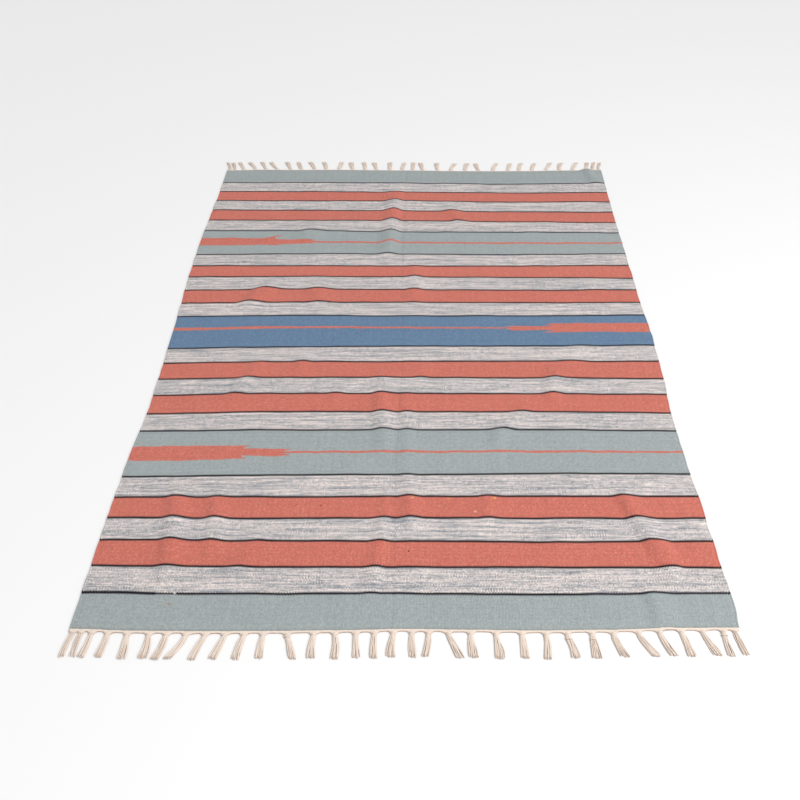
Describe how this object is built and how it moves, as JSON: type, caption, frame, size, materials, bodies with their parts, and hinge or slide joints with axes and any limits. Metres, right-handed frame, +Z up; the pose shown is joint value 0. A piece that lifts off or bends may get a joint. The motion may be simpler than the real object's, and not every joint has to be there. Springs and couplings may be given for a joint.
{
  "type": "kilim rug",
  "caption": "Flat-woven striped cotton rug lying on a floor, with low fold ridges, uneven edges and a knotted fringe along each end.",
  "frame": {"origin": "on the floor, under the middle of the rug with its fringes", "axes": "+Z up out of the pile-free upper face, +Y along the length of the rug, +X across it along the stripes"},
  "size_m": [1.2337, 1.9278, 0.0122],
  "materials": {
    "woven_cotton": "matt weft-faced flatweave in sage, coral, heather, blue and near-black stripes",
    "bare_warp": "undyed twisted cotton yarn"
  },
  "bodies": {
    "root": {"woven_cloth": "woven_cotton", "near_fringe": "bare_warp", "far_fringe": "bare_warp"}
  },
  "joints": []
}
